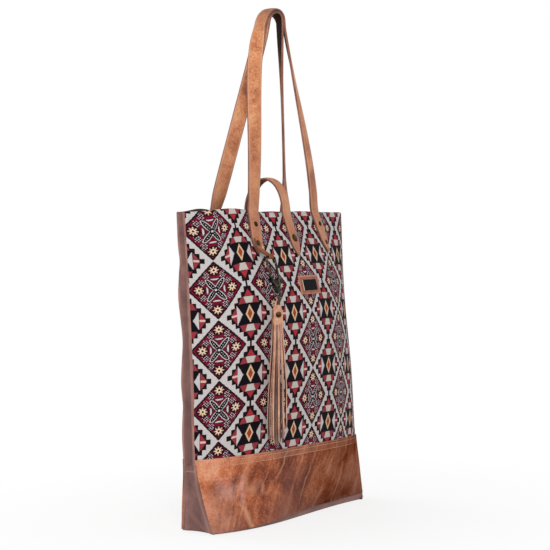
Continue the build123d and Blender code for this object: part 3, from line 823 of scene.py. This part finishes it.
inset_skin = leather(
    "dark_leather", (6, 6, 9), (11, 11, 15), (18, 18, 23), roughness=(0.6, 0.8), Specular_IOR_Level=0.08
)
thread = leather("thread", (170, 126, 100), (205, 160, 132), (225, 186, 160), 2500.0, roughness=(0.6, 0.8))
brass = metal("antique_brass", (30, 21, 10), (92, 70, 38), (0.28, 0.5))
# The gunmetal's bright patches are painted highlights as well as tarnish
gunmetal = metal("gunmetal", (4, 4, 4), (92, 86, 76), (0.08, 0.2), (0.4, 0.66))


# Cloth panels

def seams(z):
    return -half_width(z), half_width(z)


def cloth_rise(x, share):
    """The mouth's edge stands a little higher between the seam and the strap."""
    wave = 4.6 * hump(x, -106, 36) + 1.2 * hump(x, 60, 30) - 1.0 * hump(x, -30, 30)
    return wave * ramped(share - 0.75, 0.25)**2


sag = waves(3, 9, 90.0, 240.0, 1.3)
pucker = waves(4, 12, 26.0, 60.0, 1.6)


def cloth_ripple(x, z):
    sag_depth, pucker_depth = 0.7, 0.18
    inside = ramped(half_width(z) - np.abs(x), 30) * ramped(z - band_height, 40)
    return inside * (sag_depth * sag(x, z) + pucker_depth * pucker(x, z))


for word, side in (("front", front), ("back", back)):
    piece = sheet_on(
        f"{word}_cloth", side, panel_heights(fabric_bottom, body_height, 110, 2.0), seams, -panel_thickness,
        panel_thickness, (cloth, lining), cloth_ripple, cloth_rise, (0, 1, 0), print_uv,
    )
    finish_piece(piece, "bag", "patterned_cloth", f"{word}_panel")

# Leather base bands with two rows of stitches along the top
band_wave = waves(11, 9, 45.0, 130.0, 0.8)


def band_ripple(x, z):
    wave_depth = 0.45
    inside = ramped(band_height - 4 - z, 25) * ramped(z - band_bottom, 12)
    return inside * wave_depth * (band_wave(x, z) + 1)


def band_rise(x, share):
    """The band's lower edge runs down to the floor at the left and shows the rim at the right."""
    return (2.6 - 8.2 * eased(ramped(70 - x, 250))) * (1 - share)**2


def band_top_lift(x):
    """How far the front band's top edge and its stitches rise in the middle and drop at the right."""
    t = x / (body_width / 2)
    return (1 - t**2) * (5.6 + 0.6 * t) - 1.7 * (1 + t)


def front_band_rise(x, share):
    return band_rise(x, share) + band_top_lift(x) * share**2


def band_stitches(name, side):
    """Rows of small rounded stitches along a band's top edge."""
    surface, outward = side
    sides = 6
    ring = [(math.cos(2 * math.pi * k / sides), math.sin(2 * math.pi * k / sides)) for k in range(sides)]
    profile = ((-0.5, 0.35), (-0.3, 0.9), (0.0, 1.0), (0.3, 0.9), (0.5, 0.35))
    flatness = 0.8
    stitch_faces = tube_faces(len(profile), sides)
    verts, faces = [], []
    for level in (band_height - drop for drop in stitch_drops):
        reach = float(half_width(level)) - 4
        for i in range(int(2 * reach / stitch_pitch)):
            x = -reach + (i + 0.5) * stitch_pitch
            z = level + (band_top_lift(x) if outward < 0 else 0.0)
            slope = float(surface(x + 1, z) - surface(x - 1, z)) / 2
            along = Vector((1, slope, 0)).normalized()
            out = Vector((-along.y, along.x, 0)) * outward
            centre = Vector((x, float(surface(x, z)) + outward * (seam_gap + band_thickness), z))
            faces += [face + len(verts) for face in stitch_faces]
            for share, size in profile:
                radius = stitch_width / 2 * size
                for c, s in ring:
                    point = centre + along * (stitch_length * share) + out * (radius * flatness * c)
                    verts.append(point + Vector((0, 0, radius * s)))
    return new_object(name, verts, faces, None, (thread,))


for word, side, rise in (("front", front, front_band_rise), ("back", back, band_rise)):
    piece = sheet_on(
        f"{word}_base_leather", side, panel_heights(band_bottom, band_height, 40, 2.0), seams, seam_gap,
        band_thickness, (base,), band_ripple, rise,
    )
    finish_piece(piece, "bag", "base_leather", f"{word}_base_band")
    finish_piece(band_stitches(f"{word}_band_stitches", side), "bag", "base_leather")


# Side gussets: shallow leaves between the seams, with a hem and sewn joins

def gusset_piece(name, hand, bottom, top, inset, seed, material, grooves, stands_for):
    heights = panel_heights(bottom, top, 110, 1.5)
    z, s = np.meshgrid(heights, np.linspace(-1, 1, 41), indexing="ij")
    near = front_seam(z) + inset
    far = back_seam(z) - inset
    half_gap = (far - near) / 2
    y = (near + far) / 2 + half_gap * s
    swell_depth, roll_height, groove_depth, groove_reach = 1.1, 1.1, 0.7, 0.9
    swell = waves(seed, 8, 40.0, 150.0, 2.2)
    calm = ramped(1 - np.abs(s), 0.4) * ramped(top - z, 20) * ramped(z - bottom, 20)
    roll = roll_height * hump(np.abs(s), 0.78, 0.13)
    x = half_width(z) - half_gap * gusset_sink * (1 - s**2) + calm * swell(y * 2, z) * swell_depth + roll
    for groove in grooves:
        x = x - groove_depth * hump(z, groove, groove_reach)
    foot = np.clip(1 - z / gusset_foot_round, 0, 1)
    x = x - gusset_foot_round * 0.7 * (1 - np.sqrt(1 - foot**2))
    outer = np.stack([hand * x, y, z], -1)
    inner = np.stack([hand * (x - gusset_flange), y, z], -1)
    uv = np.stack([0.5 + s / 2, z * MM], -1)
    piece = shell(name, outer, inner, uv, (material, lining), hand > 0, (0, 1, 0))
    finish_piece(piece, "bag", "mauve_leather", stands_for)


for hand, word in ((-1, "left"), (1, "right")):
    gusset_piece(
        f"{word}_side", hand, fabric_bottom, body_height, panel_thickness + seam_gap, 21 + hand, mauve_side,
        (body_height - 9.0, fabric_bottom + 5.0), f"{word}_gusset",
    )
    gusset_piece(
        f"{word}_side_base", hand, gusset_foot, fabric_bottom - seam_gap, 0.0, 31 + hand, mauve_base,
        (fabric_bottom - 4.0,), f"{word}_base_gusset",
    )

# Bottom panel, its rim tucked behind the bands and the gussets
rim_round = 3.0
rim_sink = 0.5
lower_round, upper_round = 2.2, 0.8
share_x = stations(2.0, 90, 0.03) - 1.0
share_y = stations(2.0, 24, 0.12) - 1.0
grid_s, grid_t = np.meshgrid(share_y, share_x, indexing="ij")
half_gap = float(back_seam(base_rim_height) - front_seam(base_rim_height)) / 2
x = grid_t * (float(half_width(base_rim_height)) - half_gap * gusset_sink * (1 - grid_s**2) - rim_inset)
near, far = (face(x, base_rim_height) + outward * (seam_gap - rim_sink) for face, outward in (front, back))
y = (near + far) / 2 + (far - near) / 2 * grid_s
body = np.outer(rounded((share_y + 1) * half_gap, rim_round), rounded((share_x + 1) * body_width / 2, rim_round))
lower = np.stack([x, y, lower_round * (1 - body)], -1)
upper = np.stack([x, y, base_rim_height + rim_tuck - upper_round * (1 - body)], -1)
bottom = shell("bottom_leather", upper, lower, np.stack([x, y], -1) * MM, (mauve,))
finish_piece(bottom, "bag", "mauve_leather", "bottom_panel")


# Straps and tab, as rows of (point, direction across, width)

def face_frame(side, x, z, lift):
    """Point, level direction and normal on a panel's face."""
    surface, outward = side
    step = panel_thickness
    slope_x = float(surface(x + step, z) - surface(x - step, z)) / (2 * step)
    slope_z = float(surface(x, z) - surface(x, z - step)) / step
    along = Vector((1, slope_x, 0))
    up = Vector((0, slope_z, 1))
    normal = (along.cross(up) if outward < 0 else up.cross(along)).normalized()
    return Vector((x, float(surface(x, z)), z)) + normal * lift, (along * -outward).normalized(), normal


def turned(start, end, share):
    """A level direction part of the way from start to end."""
    first = math.atan2(start.y, start.x)
    sweep = (math.atan2(end.y, end.x) - first + math.pi) % (2 * math.pi) - math.pi
    angle = first + sweep * share
    return Vector((math.cos(angle), math.sin(angle), 0))


def tip_width(distance, width):
    """Width of a pointed strap end at a distance from its tip."""
    s = min(distance / (0.98 * width), 1.0)
    return width * min(1.0, 0.1 + 0.9 * (1 - (1 - s)**1.7)**0.92)


tip_places = (0.0, 0.4, 1.0, 2.0, 3.4, 5.2, 7.4, 10.0, 13.0, 17.0, 22.0, 28.0, 34.0, 40.0, 46.0, 52.0)


def foot_rows(side, hand, x, slant, lap, width, thickness):
    """The end of a strap on a panel, from its tip to the mouth, where it is at x."""
    rows = []
    for distance in (*tip_places, lap):
        below = lap - distance
        point, direction, _ = face_frame(side, x + slant * below, body_height - below, seam_gap + thickness / 2)
        rows.append((point, direction * hand * -side[1], tip_width(distance, width)))
    return rows


def strap_rows(side, arch_radius, arch_top, left_shares, right_shares, right_turn, left_bow, right_bow):
    """A shoulder strap: up the right leg, over the arch and down the left leg, with a twist and a bow in each leg."""
    arch_z = arch_top - strap_thickness / 2 - arch_radius
    rise = arch_z - body_height
    half_spacing = strap_spacing / 2
    lean = math.atan2(half_spacing, rise) - math.asin(arch_radius / math.hypot(half_spacing, rise))
    across_arch = Vector((0, 1, 0))
    across_right = Vector((math.cos(right_turn), math.sin(right_turn), 0))

    def on_arch(angle):
        x = strap_centre_x + arch_radius * math.cos(angle)
        return Vector((x, strap_meeting_y, arch_z + arch_radius * math.sin(angle)))

    def leg(hand, across_end, shares):
        x = strap_centre_x + hand * half_spacing
        rows = foot_rows(side, hand, x, hand * math.tan(lean), strap_lap, strap_width, strap_thickness)
        edge, edge_direction, _ = rows[-1]
        meeting = on_arch(lean if hand > 0 else math.pi - lean)
        places = np.linspace(0, 1, len(shares))
        count = 48
        for share in (i / count for i in range(1, count + 1)):
            twist = float(np.interp(share, places, shares))
            point = edge + (meeting - edge) * share
            # 9.48 and 6.75 bring the largest values of these curves to 1
            if hand < 0:
                point.x -= left_bow * 9.48 * share**3 * (1 - share)
            else:
                point.x += right_bow * 6.75 * share * (1 - share)**2 * eased(min(1.0, share / 0.1))
            rows.append((point, turned(edge_direction, across_end, twist), strap_width))
        return rows

    rows = leg(1, across_right, right_shares)
    count = 40
    for share in (i / count for i in range(1, count)):
        direction = turned(across_right, across_arch, eased(min(1.0, share / 0.6)))
        rows.append((on_arch(lean + (math.pi - 2 * lean) * share), direction, strap_width))
    joint = len(rows)
    rows.extend(reversed(leg(-1, across_arch, left_shares)))
    if left_bow:
        # The bowed leg runs smoothly into the arch
        points = np.array([tuple(row[0]) for row in rows])
        for _ in range(30):
            beside = points[joint - 15:joint + 9] + points[joint - 13:joint + 11]
            points[joint - 14:joint + 10] = points[joint - 14:joint + 10] * 0.5 + beside * 0.25
        rows = [(Vector(point), direction, width) for point, (_, direction, width) in zip(points, rows)]
    return rows


def tab_rows():
    """The closure tab: up the front, over the mouth and down the back."""
    rows, down = (
        foot_rows(side, 1, strap_centre_x, 0.0, tab_lap, tab_width, tab_thickness) for side in (front, back)
    )
    (start, across_start, _), (end, across_end, _) = rows[-1], down[-1]
    count = 40
    for share in (i / count for i in range(1, count)):
        along = (1 - math.cos(math.pi * share)) / 2
        point = start + (end - start) * along + Vector((0, 0, tab_rise * math.sin(math.pi * share)))
        rows.append((point, turned(across_start, across_end, share), tab_width))
    return rows + down[::-1]


def ribbon(name, rows, thickness, materials, crown):
    """A strap with rounded edges: its outer face, edges and inner face have their own materials."""
    half = thickness / 2
    edge_reach = half * 0.55
    section = []
    for share in (-1.0, -0.92, -0.75, -0.4, 0.0, 0.4, 0.75, 0.92, 1.0):
        section.append((share, half * 0.9 + (half * 0.1 + crown) * (1 - share**2)**0.7, 0.0, 0))
    for hand in (1.0, -1.0):
        for degrees in (60, 30, 0, -30, -60):
            a = math.radians(hand * degrees)
            section.append((hand, half * math.sin(a), hand * edge_reach * math.cos(a), 1))
        if hand > 0:
            section += [(share, -half, 0.0, 2) for share in (1.0, 0.5, 0.0, -0.5, -1.0)]
    last = len(rows) - 1
    verts, uvs = [], []
    length = 0.0
    for i, (point, direction, width) in enumerate(rows):
        tangent = (rows[min(i + 1, last)][0] - rows[max(i - 1, 0)][0]).normalized()
        direction = (direction - tangent * direction.dot(tangent)).normalized()
        normal = direction.cross(tangent).normalized()
        if i:
            length += (point - rows[i - 1][0]).length
        flat = width / 2 - edge_reach
        for share, out, beyond, _ in section:
            verts.append(point + direction * (flat * share + beyond) + normal * out)
            uvs.append((0.5 + share / 2, length * MM))
    kinds = [kind for *_, kind in section]
    picks = [kind if kind == ahead else 1 for kind, ahead in zip(kinds, kinds[1:] + kinds[:1])]
    return new_object(name, verts, tube_faces(len(rows), len(section)), uvs, materials, picks * last + [1, 1])


strap_skins = (cognac, strap_edge, flesh)
back_strap_top = strap_top_height - strap_thickness - strap_nest_gap
for word, side, *shape in (
    ("front", front, front_arch_radius, strap_top_height, front_twist_shares, front_right_shares, front_right_turn,
     front_left_bow, front_right_bow),
    ("back", back, back_arch_radius, back_strap_top, back_twist_shares, back_right_shares, back_right_turn, 0.0, 0.0),
):
    piece = ribbon(f"{word}_strap", strap_rows(side, *shape), strap_thickness, strap_skins, strap_crown)
    finish_piece(piece, "bag", "cognac_leather", f"{word}_shoulder_strap")
piece = ribbon("tab", tab_rows(), tab_thickness, strap_skins, strap_crown)
finish_piece(piece, "bag", "cognac_leather", "closure_tab")

# Paler cut edges of the gussets along the seams
cut_edge_width = 3.0
cut_edge_thickness = 1.3
cut_edge_crown = 0.15
cut_edge_inset = 1.4
cut_edge_proud = 0.1
for hand, word in ((-1, "left"), (1, "right")):
    for side_word, seam, inward in (("front", front_seam, 1), ("back", back_seam, -1)):
        rows = []
        for z in np.linspace(3.0, body_height - 1.0, 80):
            x = hand * (float(half_width(z)) + cut_edge_proud)
            place = Vector((x, float(seam(z)) + inward * cut_edge_inset, float(z)))
            rows.append((place, Vector((0, hand, 0)), cut_edge_width))
        name = f"{word}_{side_word}_seam_edge"
        piece = ribbon(name, rows, cut_edge_thickness, (piping, piping, piping), cut_edge_crown)
        finish_piece(piece, "bag", "mauve_leather")

# Label patch, left bare
label_round = 1.2
for name, width, height, lift, thickness, skin, slot, node in (
    ("label", label_width, label_height, seam_gap, label_thickness, label_skin, "cognac_leather", "label_patch"),
    ("label_window", label_inset_width, label_inset_height, seam_gap + label_thickness + fastener_gap,
     label_inset_thickness, inset_skin, "dark_leather", "label_inset"),
):
    left, right = label_centre_x - width / 2, label_centre_x + width / 2
    piece = sheet_on(
        name, front, panel_heights(label_z - height / 2, label_z + height / 2, 16, label_round),
        lambda z: (np.full_like(z, left), np.full_like(z, right)), lift, thickness, (skin,),
        lambda x, z: np.zeros_like(x), across=24, round_edge=label_round,
    )
    finish_piece(piece, "bag", slot, node)

# Hook's loop and tassel
low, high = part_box("tassel_wrap")
tassel_y = (low.y + high.y) / 2 / MM
wrap_top = high.z / MM
wrap_bottom = low.z / MM


def folded_strip(path, bar, bar_radius, front_turn):
    """Rows of a strip doubled round a bar: along a path of (y, z) to the bar, round it and back."""
    half = fold_thickness / 2
    radius = bar_radius + fold_clearance + half
    toward = (path[-1] - bar).normalized()
    outward = Vector((toward.y, -toward.x)) * front_turn
    there, back_again = [], []
    last = len(path) - 1
    for i, point in enumerate(path):
        run = (path[min(i + 1, last)] - path[max(i - 1, 0)]).normalized()
        normal = Vector((-run.y, run.x)) * front_turn
        there.append(point + normal * half)
        back_again.append(point - normal * half)
    ring = []
    for degrees in range(36, 325, 12):
        angle = math.radians(degrees)
        ring.append(bar + toward * (radius * math.cos(angle)) + outward * (radius * math.sin(angle)))
    line = np.array([tuple(p) for p in [*there, *ring, *reversed(back_again)]])
    for _ in range(2):
        line[1:-1] = line[1:-1] * 0.6 + (line[:-2] + line[2:]) * 0.2
    return [(Vector((tassel_x, y, z)), Vector((-front_turn, 0, 0)), fold_width) for y, z in line]


def run_between(start, end, count):
    return [start.lerp(end, i / count) for i in range(count + 1)]


# Loop of leather on the strap's end
loop_lift = seam_gap + strap_thickness + fold_strap_gap + fold_thickness
foot, _, normal = face_frame(front, tassel_x, body_height - strap_lap + rivet_tip_distance, loop_lift)
normal = Vector((normal.y, normal.z)).normalized()
half_foot = Vector((normal.y, -normal.x)) * (fold_foot_length / 2)
foot = Vector((foot.y, foot.z))
loop_low = foot - half_foot
hook = next(joint for joint in frame["record"]["behaviour"]["joints"] if joint["name"] == "hook_swing")
pivot = Vector((hook["pos_m"][1] / MM, hook["pos_m"][2] / MM))
neck = pivot + (loop_low - pivot).normalized() * loop_neck
path = [*run_between(foot + half_foot, loop_low, 8), *run_between(loop_low, neck, 6)[1:]]
piece = ribbon("hook_loop", folded_strip(path, pivot, hook_bar_radius, 1), fold_thickness, strap_skins, fold_crown)
finish_piece(piece, "bag", "cognac_leather", "tassel_strap_loop")

# Tassel's own loop round the swivel eye
eye = Vector((tassel_y, wrap_top + tassel_fold_drop))
path = run_between(Vector((tassel_y, (wrap_top + wrap_bottom) / 2)), Vector((tassel_y, eye.y - eye_neck)), 10)
rows = folded_strip(path, eye, eye_bar_radius, -1)
piece = ribbon("tassel_loop", rows, fold_thickness, (tassel_skin, tassel_edge, tassel_back), fold_crown)
finish_piece(piece, "tassel", "tassel_leather", "tassel_fold")

# Head: the rolled leather gathered in pleats under the rivet, as (height from its top, radius)
head_shape = (
    (1.0, 1.6), (0.8, 2.8), (-0.2, 4.0), (-2.0, 5.0), (-4.6, 5.7), (-8.0, 6.2), (-12.0, 6.6), (-16.0, 7.0),
    (-20.0, 7.3), (-24.0, 7.3), (-27.0, 6.4), (-28.0, 4.5),
)
turns = np.linspace(0, 2 * math.pi, 96, endpoint=False)
rings = []
for drop, radius in head_shape:
    pleat = 0.95 * np.abs(np.sin(turns * 4.5 + 0.7 + drop * 0.012)) + 0.15 * np.sin(turns * 3 + drop * 0.1)
    reach = radius + (pleat - 0.35) * min(1.0, radius / 7.0)
    height = np.full_like(turns, wrap_top + drop)
    rings.append(np.stack([tassel_x + reach * np.cos(turns), tassel_y + reach * np.sin(turns), height], -1))
head_faces = tube_faces(len(head_shape), len(turns), flip=True)
head = new_object("tassel_head", np.concatenate(rings), head_faces, None, (tassel_skin,))
finish_piece(head, "tassel", "tassel_leather", "tassel_wrap")

# Fringe
draw = random.Random(8)


def strand_rows(angle, spread, width, drop, twist, start):
    """Rows of one strand: out of the pleats, over a soft knee, then straight down to a narrowed end."""
    outward = Vector((math.cos(angle), math.sin(angle), 0))
    across = Vector((-math.sin(angle), math.cos(angle), 0))
    root = Vector((tassel_x, tassel_y, 0))
    sway = draw.uniform(-1.5, 1.5)
    lean = draw.uniform(-0.5, 1.3)
    knee = draw.uniform(0.66, 0.86)
    top = wrap_bottom + start
    bottom = wrap_bottom - drop
    rows = []
    count = 22
    for s in (i / count for i in range(count + 1)):
        swell = eased(min(1.0, max(0.0, (s - 0.06) / knee)))
        reach = head_reach * spread + (fringe_reach - head_reach) * spread * swell
        drift = sway * math.sin(s * math.pi * 1.9) + lean * max(0.0, s - 0.4) * 2
        point = root + outward * reach + across * drift + Vector((0, 0, top + (bottom - top) * s))
        turn = twist * max(0.0, s - 0.12)
        direction = across * math.cos(turn) + outward * math.sin(turn)
        wide = width * (0.9 + 0.1 * min(1.0, s * 3)) * (0.62 if s == 1 else 1.0)
        rows.append((point, -direction, wide))
    return rows


strands = []
for ring, (number, spread, start) in enumerate(((11, 1.0, 18.0), (8, 0.66, 1.0), (5, 0.3, -2.0))):
    for i in range(number):
        angle = 2 * math.pi * (i + 0.4 * ring) / number + draw.uniform(-0.09, 0.09)
        drop = fringe_length * draw.uniform(0.8, 0.995)
        width = draw.uniform(2.3, 3.9)
        skin = (tassel_skin, tassel_dark)[ring > 0 or draw.random() < 0.3]
        rows = strand_rows(angle, spread, width, drop, draw.uniform(-1.1, 1.1), start)
        skins = (skin, tassel_edge, tassel_back)
        strands.append(ribbon(f"fringe_{ring}_{i}", rows, strand_thickness, skins, fold_crown))
fringe = strands[0]
with bpy.context.temp_override(
    active_object=fringe, object=fringe, selected_objects=strands, selected_editable_objects=strands
):
    bpy.ops.object.join()
fringe.name = "tassel_strands"
finish_piece(fringe, "tassel", "tassel_leather", "tassel_fringe")

# Materials of the solids that show as they are
for material, names in (
    (brass, ("closure_snap", "closure_rivet", "strap_rivets", "loop_rivet", "tassel_rivet")),
    (gunmetal, ("snap_hook_frame", "hook_gate", "gate_pin", "swivel_eye")),
):
    for name in names:
        mesh = nodes[name].data
        mesh.materials.clear()
        mesh.materials.append(material)


# Floor, light and camera

def seen_rays(tree):
    """1 for rays from the camera, or seen in gloss or through glass, and 0 for the light itself."""
    path = tree.nodes.new("ShaderNodeLightPath")
    kinds = ("Is Camera Ray", "Is Glossy Ray", "Is Transmission Ray")
    camera_ray, glossy_ray, transmission_ray = (Number(tree, path.outputs[kind]) for kind in kinds)
    return camera_ray | glossy_ray | transmission_ray


# The floor is white where it is seen, but for a soft shadow near the bag
ground = Finish("floor", Base_Color=(0.9, 0.9, 0.9, 1), Roughness=0.9)
nearness = ground.node(
    "ShaderNodeTexGradient", {0: ground.scaled(ground.place(), 1.6, 2.0, 1.6)}, gradient_type="SPHERICAL"
)
white_share = Number(ground.tree, nearness.outputs["Fac"]).span(0.0, 0.7, 1.0, 0.76)
glow = ground.node("ShaderNodeEmission", {"Color": (1, 1, 1, 1)})
shaders = {1: ground.shader.outputs[0], 2: glow.outputs[0]}
mixer = ground.node("ShaderNodeMixShader", {0: white_share * seen_rays(ground.tree), **shaders})
feed(ground.tree, mixer.outputs[0], ground.tree.nodes["Material Output"].inputs["Surface"])
far = 12000.0
corners = [(-far, -far, 0), (far, -far, 0), (far, far, 0), (-far, far, 0)]
new_object("floor", corners, [(0, 1, 2, 3)], None, (ground.material,))

world = bpy.data.worlds.new("studio")
bpy.context.scene.world = world
world.use_nodes = True
sky = world.node_tree.nodes["Background"]
sky.inputs["Color"].default_value = (1, 1, 1, 1)
feed(world.node_tree, seen_rays(world.node_tree).span(0.0, 1.0, 0.55, 1.0), sky.inputs["Strength"])


def aimed(name, data, place, target):
    """A light or camera that looks at a target."""
    item = scene_object(name, data)
    item.location = place
    item.rotation_euler = (Vector(target) - Vector(place)).to_track_quat("-Z", "Y").to_euler()
    return item


for name, place, power, width in (
    ("key", (-1.9, -1.5, 1.7), 36.0, 1.0), ("fill", (1.7, -1.3, 1.0), 3.0, 1.4), ("rim", (-0.3, 1.9, 1.6), 14.0, 1.2)
):
    lamp = bpy.data.lights.new(name, "AREA")
    lamp.energy = power
    lamp.shape = "DISK"
    lamp.size = width
    aimed(name, lamp, place, (0.0, 0.0, 0.33))

camera_data = bpy.data.cameras.new("camera")
camera_data.sensor_width = 36.0
camera_data.lens = 105.3
camera = aimed("camera", camera_data, (-1.7999, -1.4157, 0.4260), (-0.00227, 0.0, 0.3425))
bpy.context.scene.camera = camera
bpy.context.scene.view_settings.view_transform = "Standard"
